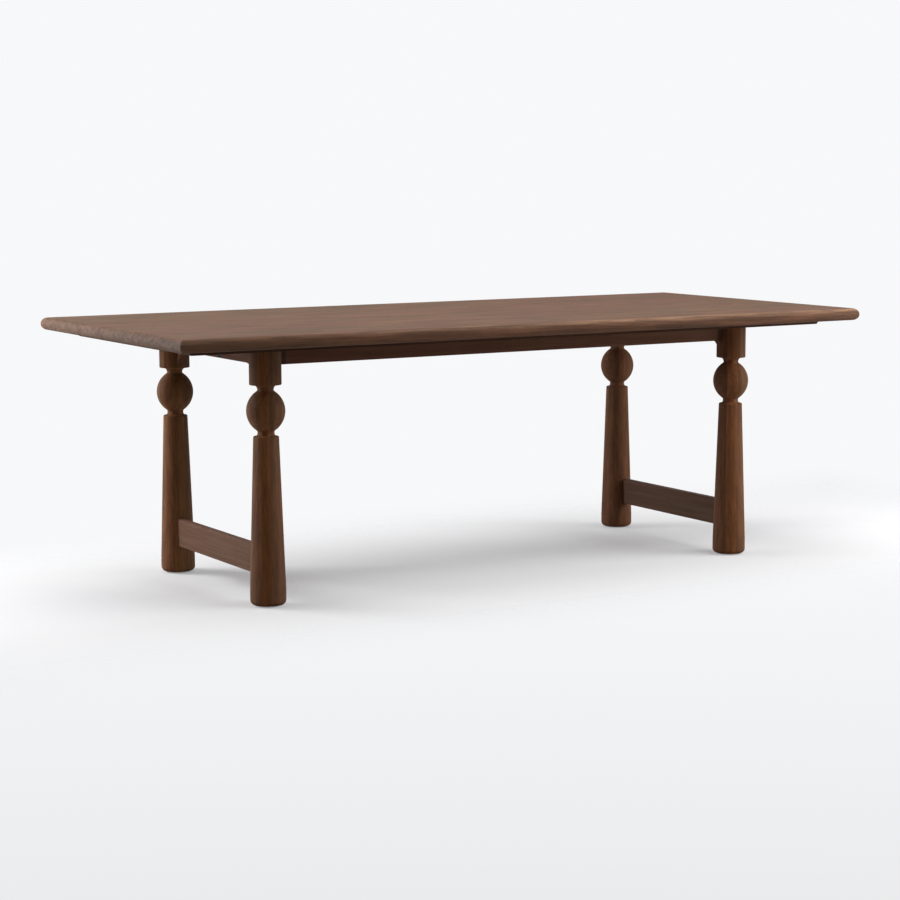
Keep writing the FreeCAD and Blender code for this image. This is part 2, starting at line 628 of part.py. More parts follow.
def make_cross_rail():
    """Rail between the two long aprons at the middle of the table."""
    body = document.addObject("PartDesign::Body", "centre_cross_rail")
    sketch = new_sketch(body, "YZ_Plane", "rail_outline")
    end = f"({LEG_Y} - {APRON_FACE})"
    draw_rectangle(sketch, f"-{end}", end, APRON_BOTTOM, FRAME_UNDERSIDE)
    pad(body, sketch, "size.apron_thickness", symmetric=True)
    round_edges(body, along("Y", APRON_BOTTOM), "size.apron_edge_round")
    end_dowel_holes(body, end, "0", APRON_MIDDLE, "size.apron_dowel_spacing", DOWEL_HOLE,
                    "size.short_dowel_length - size.short_dowel_in_apron + size.hole_fit")
    set_down(body)
    keep(body, "centre_cross_rail")


# Corner bracket: a bent strip of steel across each inside corner, square to the diagonal.
WEB_NEAR = "(size.bracket_web_place * sqrt(2))"
WEB_FAR = "((size.bracket_web_place + size.bracket_thickness) * sqrt(2))"
FLANGE_NEAR = APRON_FACE
FLANGE_FAR = f"({APRON_FACE} + size.bracket_thickness)"


def make_bracket(label, x, y, turn):
    """Corner bracket, drawn for the front left leg with the leg's axis at the origin."""
    body = document.addObject("PartDesign::Body", label)
    sketch = new_sketch(body, "XY_Plane", "strip_outline", f"{APRON_MIDDLE} - size.bracket_height / 2")
    draw_outline(sketch, [
        ("size.bracket_flange_end", FLANGE_NEAR),
        ("size.bracket_flange_end", FLANGE_FAR),
        (f"{WEB_FAR} - {FLANGE_FAR}", FLANGE_FAR),
        (FLANGE_FAR, f"{WEB_FAR} - {FLANGE_FAR}"),
        (FLANGE_FAR, "size.bracket_flange_end"),
        (FLANGE_NEAR, "size.bracket_flange_end"),
        (FLANGE_NEAR, f"{WEB_NEAR} - {FLANGE_NEAR}"),
        (f"{WEB_NEAR} - {FLANGE_NEAR}", FLANGE_NEAR),
    ])
    pad(body, sketch, "size.bracket_height")
    bend = f"({WEB_FAR} - {FLANGE_FAR})"
    round_edges(body, standing_at([(bend, FLANGE_FAR), (FLANGE_FAR, bend)]), "size.bracket_bend_round")
    diagonal = new_sketch(body, "XZ_Plane", "hanger_bolt_hole", turn=-45.0)
    draw_circles(diagonal, [("0", APRON_MIDDLE)], "size.hanger_bolt_radius + size.hole_fit")
    pocket(body, diagonal, WEB_FAR)
    screws = list(zip(SCREW_PLACES, SCREW_HEIGHTS))
    bore(body, "XZ_Plane", "long_flange_holes", screws, SCREW_HOLE, "size.bracket_thickness",
         lift=f"-{FLANGE_NEAR}")
    bore(body, "YZ_Plane", "end_flange_holes", screws, SCREW_HOLE, "size.bracket_thickness",
         lift=FLANGE_FAR)
    set_down(body, x, y, turn=turn)
    keep(body, label)


# Glide: a nylon disc with a recess for the nail that holds it under the foot.
def make_glide(label, x, y):
    """Nylon glide under one foot."""
    body = document.addObject("PartDesign::Body", label)
    sketch = new_sketch(body, "XZ_Plane", "glide_outline")
    recess = "(size.nail_head_lift + size.nail_head_thickness)"
    draw_outline(sketch, [
        ("size.nail_head_radius + size.hole_fit", "0"),
        ("size.glide_radius - size.glide_edge_round", "0", "size.glide_edge_round"),
        ("size.glide_radius", "size.glide_edge_round"),
        ("size.glide_radius", "size.glide_thickness"),
        ("size.nail_radius + size.hole_fit", "size.glide_thickness"),
        ("size.nail_radius + size.hole_fit", recess),
        ("size.nail_head_radius + size.hole_fit", recess),
    ])
    revolve(body, sketch)
    set_down(body, x, y)
    keep(body, label)


# Fasteners: one pattern solid of each kind, then its copies as one group.
def hexagon(radius):
    """Corners of a regular six-sided outline about the origin, at a radius."""
    return [(f"{radius} * cos({60 * side} deg)", f"{radius} * sin({60 * side} deg)") for side in range(6)]


def turned_pattern(name, corners, socket_radius=None, socket_depth=None, socket_floor=None):
    """Pattern of a turned fastener, upright, with a six-sided socket in its lower end where asked."""
    body = document.addObject("PartDesign::Body", f"{name}_pattern")
    sketch = new_sketch(body, "XZ_Plane", "pattern_outline")
    draw_outline(sketch, corners)
    revolve(body, sketch)
    if socket_radius:
        socket = new_sketch(body, "XY_Plane", "socket", socket_floor)
        draw_outline(socket, hexagon(socket_radius))
        pocket(body, socket, socket_depth)
    return body


def group(label, pattern, placements):
    """One node of separate solids: the pattern's solid at each of the placements."""
    document.recompute()
    copies = []
    for placement in placements:
        copy = pattern.Shape.copy()
        copy.Placement = placement.multiply(copy.Placement)
        copies.append(copy)
    piece = document.addObject("Part::Feature", label)
    piece.Shape = Part.makeCompound(copies)
    keep(piece, label)


def upright(places, height):
    """Placements of upright fasteners at a list of places, at one height."""
    return [FreeCAD.Placement(FreeCAD.Vector(amount(x), amount(y), amount(height)), FreeCAD.Rotation())
            for x, y in places]


def ring_corners(inner, outer, low, high):
    """Outline of a plain ring for turning."""
    return [(inner, low), (outer, low), (outer, high), (inner, high)]


def make_top_fixings():
    """Bolts, washers and inserts that hold the dark frame under the top."""
    stack = "(size.flat_washer_thickness + size.spring_washer_thickness)"
    head = "size.top_bolt_head_height"
    rim = "size.top_bolt_head_radius"
    crown = "size.top_bolt_crown_radius"
    bolt = turned_pattern("top_bolt", [
        ("0", f"-{head}"),
        (crown, f"-{head}", "size.top_bolt_dome_radius"),
        (rim, "0"),
        ("size.top_bolt_radius", "0"),
        ("size.top_bolt_radius", "size.top_bolt_length"),
        ("0", "size.top_bolt_length"),
    ], "size.top_bolt_socket_radius", "size.overrun", f"-{head} + size.top_bolt_socket_depth")
    group("top_bolts", bolt, upright(TOP_BOLTS, f"{FRAME_UNDERSIDE} - {stack}"))
    bore_radius = "size.top_bolt_radius + size.hole_fit"
    flat = turned_pattern("flat_washer", ring_corners(bore_radius, "size.flat_washer_radius", "0",
                                                      "size.flat_washer_thickness"))
    group("top_bolt_flat_washers", flat,
          upright(TOP_BOLTS, f"{FRAME_UNDERSIDE} - size.flat_washer_thickness"))
    spring = turned_pattern("spring_washer", ring_corners(bore_radius, "size.spring_washer_radius", "0",
                                                          "size.spring_washer_thickness"))
    group("top_bolt_spring_washers", spring, upright(TOP_BOLTS, f"{FRAME_UNDERSIDE} - {stack}"))
    insert = turned_pattern("top_insert", ring_corners(bore_radius, "size.top_insert_radius", "0",
                                                       "size.top_insert_length"))
    group("top_bolt_inserts", insert, upright(TOP_BOLTS, TOP_UNDERSIDE))


def make_apron_fixings():
    """Bolts, washers and inserts that hold the base up to the top, through the dark frame."""
    seat = f"({APRON_BOTTOM} + size.counterbore_depth)"
    head = "size.apron_bolt_head_height"
    bolt = turned_pattern("apron_bolt", [
        ("0", f"-{head}"),
        ("size.apron_bolt_head_radius", f"-{head}"),
        ("size.apron_bolt_head_radius", "0"),
        ("size.apron_bolt_radius", "0"),
        ("size.apron_bolt_radius", "size.apron_bolt_length"),
        ("0", "size.apron_bolt_length"),
    ], "size.apron_bolt_socket_radius", "size.overrun", f"-{head} + size.apron_bolt_socket_depth")
    group("apron_bolts", bolt, upright(APRON_BOLTS, f"{seat} - size.apron_washer_thickness"))
    bore_radius = "size.apron_bolt_radius + size.hole_fit"
    washer = turned_pattern("apron_washer", ring_corners(bore_radius, "size.apron_washer_radius", "0",
                                                         "size.apron_washer_thickness"))
    group("apron_bolt_washers", washer, upright(APRON_BOLTS, f"{seat} - size.apron_washer_thickness"))
    insert = turned_pattern("apron_insert", ring_corners(bore_radius, "size.apron_insert_radius", "0",
                                                         "size.apron_insert_length"))
    group("apron_bolt_inserts", insert, upright(APRON_BOLTS, TOP_UNDERSIDE))


# The four corners of the base, each a quarter turn on from the one before it.
CORNERS = ["front_left", "front_right", "back_right", "back_left"]


def ways(corner):
    """Signs of x and of y at a corner of the base."""
    return -1 if corner.endswith("left") else 1, -1 if corner.startswith("front") else 1


def quarter_turn(corner):
    """Turn in degrees at a corner of what is drawn for the first one."""
    return 90.0 * CORNERS.index(corner)


def corner_placements(locals_at_corner):
    """Each local placement repeated at the four corners, in the frame of the corner bracket."""
    placements = []
    for corner in CORNERS:
        way_x, way_y = ways(corner)
        base = FreeCAD.Vector(way_x * amount(LEG_X), way_y * amount(LEG_Y), 0)
        turn = FreeCAD.Rotation(FreeCAD.Vector(0, 0, 1), quarter_turn(corner))
        placements += [FreeCAD.Placement(base, turn).multiply(local) for local in locals_at_corner]
    return placements


def make_bracket_fixings():
    """Hanger bolts with nuts and washers, and the wood screws of the corner brackets."""
    inward = FreeCAD.Vector(1, 1, 0).normalize()
    tilt = FreeCAD.Rotation(FreeCAD.Vector(0, 0, 1), inward)
    level = FreeCAD.Vector(0, 0, amount(APRON_MIDDLE))

    def on_diagonal(distance):
        spot = FreeCAD.Vector(inward).multiply(amount(distance))
        return corner_placements([FreeCAD.Placement(level.add(spot), tilt)])

    bolt = turned_pattern("hanger_bolt", [
        ("0", "0"),
        ("size.hanger_bolt_radius", "0"),
        ("size.hanger_bolt_radius", "size.hanger_bolt_length"),
        ("0", "size.hanger_bolt_length"),
    ])
    group("hanger_bolts", bolt, on_diagonal("0"))
    room_side = "(size.bracket_web_place + size.bracket_thickness)"
    bore_radius = "size.hanger_bolt_radius + size.hole_fit"
    washer = turned_pattern("hanger_washer", ring_corners(bore_radius, "size.hanger_washer_radius", "0",
                                                          "size.hanger_washer_thickness"))
    group("hanger_bolt_washers", washer, on_diagonal(room_side))
    nut = document.addObject("PartDesign::Body", "hanger_nut_pattern")
    outline = new_sketch(nut, "XY_Plane", "nut_outline")
    draw_outline(outline, hexagon("size.hanger_nut_radius"))
    draw_circles(outline, [("0", "0")], bore_radius)
    pad(nut, outline, "size.hanger_nut_height")
    group("hanger_bolt_nuts", nut, on_diagonal(f"{room_side} + size.hanger_washer_thickness"))
    screw = turned_pattern("screw", [
        ("0", "-size.screw_head_height"),
        ("size.screw_head_radius", "-size.screw_head_height"),
        ("size.screw_head_radius", "0"),
        ("size.screw_radius", "0"),
        ("size.screw_radius", "size.screw_length - size.hole_fit"),
        ("0", "size.screw_length - size.hole_fit"),
    ])
    seats = []
    face = amount(FLANGE_FAR)
    for place, height in zip(SCREW_PLACES, SCREW_HEIGHTS):
        spot = (amount(place), amount(height))
        into_long = FreeCAD.Rotation(FreeCAD.Vector(0, 0, 1), FreeCAD.Vector(0, -1, 0))
        into_end = FreeCAD.Rotation(FreeCAD.Vector(0, 0, 1), FreeCAD.Vector(-1, 0, 0))
        seats.append(FreeCAD.Placement(FreeCAD.Vector(spot[0], face, spot[1]), into_long))
        seats.append(FreeCAD.Placement(FreeCAD.Vector(face, spot[0], spot[1]), into_end))
    group("bracket_screws", screw, corner_placements(seats))


def make_dowels():
    """Dowels of the glued joints, all lying along Y across their joints."""
    along_y = FreeCAD.Rotation(FreeCAD.Vector(0, 0, 1), FreeCAD.Vector(0, 1, 0))

    def pattern(name, radius, length):
        return turned_pattern(name, [("0", "0"), (radius, "0"), (radius, length), ("0", length)])

    def lying(places, length):
        # places are the joints' middles, so each dowel starts half its length before
        back = amount(length) / 2
        return [FreeCAD.Placement(FreeCAD.Vector(x, y - back, z), along_y) for x, y, z in places]

    seat_y = amount(f"{LEG_Y} - size.stretcher_seat")
    stretcher_x = amount(f"{LEG_X} + size.stretcher_outset")
    spread = amount("size.stretcher_dowel_spacing / 2")
    middle = amount(STRETCHER_MIDDLE)
    places = [(way_x * stretcher_x, way_y * seat_y, middle + way_z * spread)
              for way_x in (-1, 1) for way_y in (-1, 1) for way_z in (-1, 1)]
    large = pattern("large_dowel", "size.large_dowel_radius", "size.large_dowel_length")
    group("stretcher_dowels", large, lying(places, "size.large_dowel_length"))
    dowel = pattern("dowel", "size.dowel_radius", "size.dowel_length")
    seat_y = amount(f"{LEG_Y} - size.apron_seat")
    leg_x = amount(LEG_X)
    spread = amount("size.apron_dowel_spacing / 2")
    middle = amount(APRON_MIDDLE)
    places = [(way_x * leg_x, way_y * seat_y, middle + way_z * spread)
              for way_x in (-1, 1) for way_y in (-1, 1) for way_z in (-1, 1)]
    group("end_apron_dowels", dowel, lying(places, "size.dowel_length"))
    rail_y = amount(RAIL_INNER_Y)
    height = amount(FRAME_MIDDLE)
    places = [(way_y * amount(x), way_y * rail_y, height) for way_y in (-1, 1) for x in FRAME_DOWELS]
    group("frame_dowels", dowel, lying(places, "size.dowel_length"))
    short = pattern("short_dowel", "size.dowel_radius", "size.short_dowel_length")
    joint_y = amount(f"{LEG_Y} - {APRON_FACE} + size.short_dowel_in_apron - size.short_dowel_length / 2")
    places = [(0, way_y * joint_y, middle + way_z * spread) for way_y in (-1, 1) for way_z in (-1, 1)]
    group("cross_rail_dowels", short, lying(places, "size.short_dowel_length"))


def make_nails():
    """Nails of the glides, with flat heads in the glides' recesses."""
    head = "size.nail_head_thickness"
    nail = turned_pattern("nail", [
        ("0", "0"),
        ("size.nail_head_radius", "0"),
        ("size.nail_head_radius", head),
        ("size.nail_radius", head),
        ("size.nail_radius", "size.nail_length"),
        ("0", "size.nail_length"),
    ])
    feet = [(f"({way_x} * {LEG_X})", f"({way_y} * {LEG_Y})") for way_x, way_y in map(ways, CORNERS)]
    group("glide_nails", nail, upright(feet, "size.nail_head_lift"))


make_top()
make_frame_rail("frame_front_rail", 0.0)
make_frame_rail("frame_back_rail", 180.0)
LEFT_END, LEFT_OVER_LEGS, CENTRE, RIGHT_OVER_LEGS, RIGHT_END = CROSS_PLACES
END_HOLES = [("0", END_BOLT[1])]
make_cross_member("frame_left_end_member", LEFT_END, "size.end_member_width", True, END_HOLES, BOLT_HOLE, 0.0)
make_cross_member("frame_right_end_member", RIGHT_END, "size.end_member_width", True, END_HOLES, BOLT_HOLE,
                  180.0)
make_cross_member("frame_left_cross_member", LEFT_OVER_LEGS, "size.cross_member_width", False,
                  END_APRON_BOLTS, APRON_BOLT_HOLE, 0.0)
make_cross_member("frame_right_cross_member", RIGHT_OVER_LEGS, "size.cross_member_width", False,
                  END_APRON_BOLTS, APRON_BOLT_HOLE, 0.0)
make_cross_member("frame_centre_cross_member", CENTRE, "size.cross_member_width", False, [], BOLT_HOLE, 0.0)
for corner in CORNERS:
    way_x, way_y = ways(corner)
    leg_x = f"{way_x} * {LEG_X}"
    leg_y = f"{way_y} * {LEG_Y}"
    make_leg(f"{corner}_leg", way_x * way_y, leg_x, leg_y, 0.0 if way_y < 0 else 180.0)
    make_bracket(f"{corner}_bracket", leg_x, leg_y, quarter_turn(corner))
    make_glide(f"{corner}_glide", leg_x, leg_y)
make_long_apron("front_apron", 0.0)
make_long_apron("back_apron", 180.0)
make_end_apron("left_end_apron", 0.0)
make_end_apron("right_end_apron", 180.0)
make_stretcher("left_stretcher", -1)
make_stretcher("right_stretcher", 1)
make_cross_rail()
make_top_fixings()
make_apron_fixings()
make_bracket_fixings()
make_dowels()
make_nails()
document.recompute()

# Nothing is written unless every feature was built and every cut took material away.
faults = [item.Name for item in document.Objects if {"Invalid", "Error"} & set(item.State)]
faults += [
    item.Name for item in document.Objects
    if item.TypeId == "PartDesign::Pocket" and not item.Shape.Volume < item.BaseFeature.Shape.Volume
]
faults += [piece.Label for piece in sub_parts if piece.Shape.isNull() or not piece.Shape.isValid()]
if faults:
    raise RuntimeError(f"these were not built: {faults}")
os.makedirs("parts", exist_ok=True)
for piece in sub_parts:
    piece.Shape.exportStep(os.path.join("parts", f"{piece.Label}.step"))
print(f"{len(sub_parts)} nodes, {sum(len(piece.Shape.Solids) for piece in sub_parts)} solids")
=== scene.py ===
from math import pi, radians

import bpy
import numpy as np
from mathutils import Euler, Matrix, Vector


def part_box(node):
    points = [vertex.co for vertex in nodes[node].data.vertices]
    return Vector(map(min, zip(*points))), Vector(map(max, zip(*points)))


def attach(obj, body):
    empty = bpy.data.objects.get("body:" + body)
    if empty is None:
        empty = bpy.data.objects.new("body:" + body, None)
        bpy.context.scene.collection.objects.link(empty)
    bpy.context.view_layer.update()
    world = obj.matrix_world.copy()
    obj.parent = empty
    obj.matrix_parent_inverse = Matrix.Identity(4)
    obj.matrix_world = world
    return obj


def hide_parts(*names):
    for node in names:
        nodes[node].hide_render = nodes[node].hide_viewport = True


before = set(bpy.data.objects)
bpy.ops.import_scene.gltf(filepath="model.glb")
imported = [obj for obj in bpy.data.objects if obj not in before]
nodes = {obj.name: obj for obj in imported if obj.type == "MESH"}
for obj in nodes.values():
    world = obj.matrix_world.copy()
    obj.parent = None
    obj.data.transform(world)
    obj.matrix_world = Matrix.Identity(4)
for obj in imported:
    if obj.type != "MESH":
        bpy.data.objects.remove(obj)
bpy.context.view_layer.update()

# Turned legs: each is glued up from oak staves, turned as one spindle with its block, ball and tapered
# shaft, then stained brown and lacquered. The grain runs up the leg, and the staves differ in tone;
# the tones also carry painted light and shade, set to the leg's left, middle and right as the camera sees
# them.
CORNERS = ("front_left", "front_right", "back_right", "back_left")
STAVE_WIDTH = 0.032
STAVE_TURN = 0.53
STAVE_SHIFTS = {"front_left": 0.59, "front_right": 0.50, "back_right": 0.90, "back_left": 0.10}


def screen(red, green, blue):
    """A colour as a screen shows it, from 0 to 255, turned into the light it stands for."""
    share = np.array([red, green, blue]) / 255
    light = np.where(share <= 0.04045, share / 12.92, ((share + 0.055) / 1.055) ** 2.4)
    return (*(float(value) for value in light), 1.0)


def node(tree, kind, inputs, **settings):
    """Adds a node, with its settings, and links or sets the inputs that are given by name or number."""
    made = tree.nodes.new(kind)
    for key, value in settings.items():
        setattr(made, key, value)
    for key, value in inputs.items():
        if isinstance(value, bpy.types.NodeSocket):
            tree.links.new(value, made.inputs[key])
        else:
            made.inputs[key].default_value = value
    return made


def reckon(tree, operation, *values):
    """A sum on numbers: the operation's name, then what it works on."""
    return node(tree, "ShaderNodeMath", dict(enumerate(values)), operation=operation).outputs[0]


def reckon_places(tree, operation, *values):
    """A sum on places or colours, such as a product or a dot product."""
    made = node(tree, "ShaderNodeVectorMath", dict(enumerate(values)), operation=operation)
    return made.outputs["Value" if operation in ("LENGTH", "DOT_PRODUCT") else "Vector"]


def scaled(tree, place, amount):
    """A place or colour times one number."""
    made = node(tree, "ShaderNodeVectorMath", {0: place, "Scale": amount}, operation="SCALE")
    return made.outputs["Vector"]


def own_place(tree):
    """Where a point of the piece lies, in metres from the middle of the table's footprint."""
    return node(tree, "ShaderNodeTexCoord", {}).outputs["Object"]


def split(tree, place):
    """The parts X, Y and Z of a place or a direction."""
    return node(tree, "ShaderNodeSeparateXYZ", {0: place}).outputs


def joined(tree, **parts):
    """A place from its parts X, Y and Z, where one that isn't given is 0."""
    return node(tree, "ShaderNodeCombineXYZ", parts).outputs[0]


def own_draw(tree, number):
    """Three random shares that stay the same all over one stave or board, drawn from its number."""
    return node(tree, "ShaderNodeTexWhiteNoise", {"W": number}, noise_dimensions="1D").outputs["Color"]


def cloud(tree, place, swells, detail=2.0, roughness=0.5, output="Fac"):
    """Soft noise about 0.5, with so many swells to the metre along each axis of the place."""
    spread = reckon_places(tree, "MULTIPLY", place, swells)
    settings = {"Vector": spread, "Scale": 1.0, "Detail": detail, "Roughness": roughness}
    return node(tree, "ShaderNodeTexNoise", settings).outputs[output]


def step(tree, value, low, high):
    """0 below low, 1 above high, and a smooth rise between them."""
    inputs = {"Value": value, "From Min": low, "From Max": high}
    return node(tree, "ShaderNodeMapRange", inputs, interpolation_type="SMOOTHSTEP").outputs[0]


def blended(tree, share, first, second):
    """The first colour at share 0 and the second at share 1."""
    inputs = {0: share, 6: first, 7: second}
    return node(tree, "ShaderNodeMix", inputs, data_type="RGBA").outputs[2]


def swing(tree, value, amount):
    """1 plus amount times how far a value from 0 to 1 lies from its middle, doubled."""
    return reckon(tree, "MULTIPLY_ADD", value, 2 * amount, 1 - amount)


# Figure of the oak: the width of a ring, the sway and the lean of the pith, and how many swells each
# part of it has to the metre, along the grain and both ways across it.
OAK_RING = 0.0046
OAK_SWAY = 0.030
OAK_LEAN = 0.022
SWAY_SWELLS = (1.1, 2.0, 2.0)
RING_SWELLS = (5.0, 60.0, 60.0)
PORE_SWELLS = (42.0, 1300.0, 1300.0)
FIBRE_SWELLS = (12.0, 420.0, 420.0)
STREAK_SWELLS = (4.0, 95.0, 95.0)
BAND_SWELLS = (0.8, 13.0, 13.0)
EARLY_BEGINS = (0.0, 0.06)
EARLY_ENDS = (0.05, 0.55)
MORE_EARLY_PORES = 0.10
PORE_RANGE = (0.60, 0.70)
STREAK_RANGE = (0.34, 0.66)
BAND_RANGE = (0.35, 0.65)
FIBRE_RELIEF = 0.35
EARLY_RELIEF = 0.20


def oak(tree, place, pith, tone):
    """Colour and height of stained oak, with the grain along x of the place, in metres.

    The growth rings are cylinders about a pith that leans and sways along the board, so that a flat
    face shows pointed arches and an end shows arcs: the year at a place is its distance from the pith
    over the width of a ring, plus a small wobble, and its fraction says how far through a ring it is.
    The pores are fine streaks, most where a ring begins. Longer streaks, and bands between two colours
    of stain, lie over both."""
    drift = cloud(tree, place, SWAY_SWELLS, output="Color")
    drift = scaled(tree, reckon_places(tree, "SUBTRACT", drift, (0.5, 0.5, 0.5)), OAK_SWAY)
    away = reckon_places(tree, "SUBTRACT", reckon_places(tree, "ADD", place, drift), pith)
    lean = reckon_places(tree, "MULTIPLY", away, (OAK_LEAN, 0.0, 0.0))
    lean = joined(tree, Z=reckon_places(tree, "DOT_PRODUCT", lean, (1.0, 1.0, 1.0)))
    away = reckon_places(tree, "ADD", away, lean)
    radius = reckon_places(tree, "LENGTH", reckon_places(tree, "MULTIPLY", away, (0.0, 1.0, 1.0)))
    wobble = cloud(tree, place, RING_SWELLS)
    year = reckon(tree, "ADD", reckon(tree, "DIVIDE", radius, OAK_RING), wobble)
    through = reckon(tree, "FRACT", year)
    early = reckon(tree, "SUBTRACT", 1.0, step(tree, through, *EARLY_ENDS))
    early = reckon(tree, "MULTIPLY", early, step(tree, through, *EARLY_BEGINS))
    pores = cloud(tree, place, PORE_SWELLS, detail=1.0)
    pores = reckon(tree, "ADD", pores, reckon(tree, "MULTIPLY", early, MORE_EARLY_PORES))
    pores = step(tree, pores, *PORE_RANGE)
    fibres = cloud(tree, place, FIBRE_SWELLS, detail=3.0, roughness=0.6)
    streaks = step(tree, cloud(tree, place, STREAK_SWELLS, detail=3.0, roughness=0.6), *STREAK_RANGE)
    bands = step(tree, cloud(tree, place, BAND_SWELLS), *BAND_RANGE)
    colour = blended(tree, bands, tone["golden"], tone["reddish"])
    for figure, amount in ((fibres, tone["fibres"]), (streaks, tone["streaks"]), (early, -tone["rings"]),
                           (bands, tone["bands"])):
        colour = scaled(tree, colour, swing(tree, figure, amount))
    colour = blended(tree, reckon(tree, "MULTIPLY", pores, tone["pores"]), colour, tone["filled"])
    height = reckon(tree, "SUBTRACT", reckon(tree, "MULTIPLY", fibres, FIBRE_RELIEF), pores)
    height = reckon(tree, "SUBTRACT", height, reckon(tree, "MULTIPLY", early, EARLY_RELIEF))
    return colour, height, streaks


def surfaced(tree, colour, roughness, height, depth, strength=0.5):
    """Gives a finish its colour, its roughness and its relief, whose depth is in metres."""
    bump = node(tree, "ShaderNodeBump", {"Height": height, "Strength": strength, "Distance": depth})
    shader = tree.nodes["Principled BSDF"]
    tree.links.new(colour, shader.inputs["Base Color"])
    tree.links.new(roughness, shader.inputs["Roughness"])
    tree.links.new(bump.outputs[0], shader.inputs["Normal"])
    return shader


LACQUER_DEPTH = 0.00012
LACQUER_SHEEN = 0.10


def lacquered(tree, wood, specular, roughness=0.78):
    """Thin matt lacquer over wood: the grain still shows as relief, and the sheen follows the streaks."""
    colour, height, streaks = wood
    dullness = reckon(tree, "MULTIPLY_ADD", streaks, -LACQUER_SHEEN, roughness + LACQUER_SHEEN / 2)
    shader = surfaced(tree, colour, dullness, height, LACQUER_DEPTH, strength=0.6)
    shader.inputs["Specular IOR Level"].default_value = specular


def new_finish(name):
    """A new material with its node tree."""
    finish = bpy.data.materials.new(name)
    finish.use_nodes = True
    return finish, finish.node_tree


def dress(name, finish):
    """Gives a carried-over piece its finish."""
    for slot in nodes[name].material_slots:
        slot.material = finish


LEG_TONE = {
    "golden": screen(99, 65, 34), "reddish": screen(101, 65, 40), "filled": screen(56, 35, 21),
    "fibres": 0.10, "streaks": 0.14, "rings": 0.05, "bands": 0.08, "pores": 0.45,
}
# Each stave has one of these tones, which say how much lighter or darker the stain came out on it. They
# are also partly painted light and shade, since the staves stand square to the camera.
GOLDEN = (1.50, 1.32, 1.04)
WARM = (1.54, 1.31, 1.18)
REDDISH = (1.02, 1.03, 1.06)
RUDDY = (1.08, 0.98, 0.94)
DARK = (0.92, 0.80, 0.78)
PALE = (1.66, 1.64, 1.64)
TAN = (1.25, 1.08, 0.85)
STAVE_TONES_AND_SHADE = {
    "front_left": (GOLDEN, REDDISH, REDDISH), "front_right": (WARM, RUDDY, DARK),
    "back_right": (DARK, RUDDY, DARK), "back_left": (PALE, REDDISH, TAN),
}
STAVES_BEFORE = 12
LEG_APART = 17.3
STAVE_APART = 4.0
STAVE_PITH = (0.3, 0.05, 0.09)
MOTTLE_SWELLS = (14.0, 55.0, 55.0)
MOTTLE_RANGE = (0.32, 0.68)
MOTTLE = 0.12


def leg_wood(corner, number):
    """Wood of one leg: staves side by side, each with its own tone and its own rings. The tones are
    partly painted light and shade.

    A stave's number is its distance across the leg over the width of a stave, rounded down. What is
    left when that number is divided by three picks one of the leg's three tones."""
    finish, tree = new_finish(f"{corner}_leg_oak")
    low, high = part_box(f"{corner}_leg")
    middle = (low + high) / 2
    turned = node(tree, "ShaderNodeMapping", {
        "Vector": reckon_places(tree, "SUBTRACT", own_place(tree), (middle.x, middle.y, 0.0)),
        "Rotation": (0.0, 0.0, STAVE_TURN),
    }).outputs[0]
    parts = split(tree, turned)
    across = reckon(tree, "MULTIPLY_ADD", parts["X"], 1 / STAVE_WIDTH, STAVE_SHIFTS[corner])
    stave = reckon(tree, "FLOOR", across)
    offset = scaled(tree, own_draw(tree, reckon(tree, "ADD", stave, LEG_APART * number)), STAVE_APART)
    grain = joined(tree, X=parts["Z"], Y=parts["X"], Z=parts["Y"])
    grain = reckon_places(tree, "ADD", grain, offset)
    colour, height, streaks = oak(tree, grain, reckon_places(tree, "ADD", offset, STAVE_PITH), LEG_TONE)
    tones = [(*tone, 1.0) for tone in STAVE_TONES_AND_SHADE[corner]]
    which = reckon(tree, "MODULO", reckon(tree, "ADD", stave, STAVES_BEFORE), len(tones))
    tone = tones[0]
    for order in (1, 2):
        chosen = step(tree, which, order - 0.6, order - 0.4)
        tone = blended(tree, chosen, tone, tones[order])
    mottle = step(tree, cloud(tree, grain, MOTTLE_SWELLS), *MOTTLE_RANGE)
    colour = scaled(tree, reckon_places(tree, "MULTIPLY", colour, tone), swing(tree, mottle, MOTTLE))
    lacquered(tree, (colour, height, streaks), specular=0.28)
    return finish


for number, corner in enumerate(CORNERS):
    dress(f"{corner}_leg", leg_wood(corner, number))

# Glides: brown nylon discs, 2.5 mm thick, that keep the feet off the floor. Each is held by one
# flat-headed zinc-plated nail, sunk into it and driven up into the end grain of the leg.
NYLON_SWELLS = (60.0, 60.0, 60.0)
GRIT_SWELLS = (1800.0, 1800.0, 1800.0)
GRIT_DEPTH = 0.00002
NYLON_PATCHES = 0.12
NYLON_SHEEN = 0.1


def moulded(name, colour, roughness):
    """Moulded nylon: one colour with a faint cloud in it, and a fine grit from the mould."""
    finish, tree = new_finish(name)
    place = own_place(tree)
    patch = cloud(tree, place, NYLON_SWELLS)
    shade = scaled(tree, colour[:3], swing(tree, patch, NYLON_PATCHES))
    dullness = reckon(tree, "MULTIPLY_ADD", patch, NYLON_SHEEN, roughness)
    surfaced(tree, shade, dullness, cloud(tree, place, GRIT_SWELLS), GRIT_DEPTH, strength=0.4)
    return finish


PLATE_SWELLS = (140.0, 140.0, 140.0)
SCRATCH_SWELLS = (2600.0, 900.0, 900.0)
SCRATCH_DEPTH = 0.00001
PLATE_PATCHES = 0.15
PLATE_SHEEN = 0.2


def steel(name, colour, roughness):
    """Plated or blackened steel, with small scratches and a cloudy sheen."""
    finish, tree = new_finish(name)
    place = own_place(tree)
    patch = cloud(tree, place, PLATE_SWELLS, detail=4.0)
    shade = scaled(tree, colour[:3], swing(tree, patch, PLATE_PATCHES))
    dullness = reckon(tree, "MULTIPLY_ADD", patch, PLATE_SHEEN, roughness)
    shader = surfaced(tree, shade, dullness, cloud(tree, place, SCRATCH_SWELLS), SCRATCH_DEPTH)
    shader.inputs["Metallic"].default_value = 1.0
    return finish


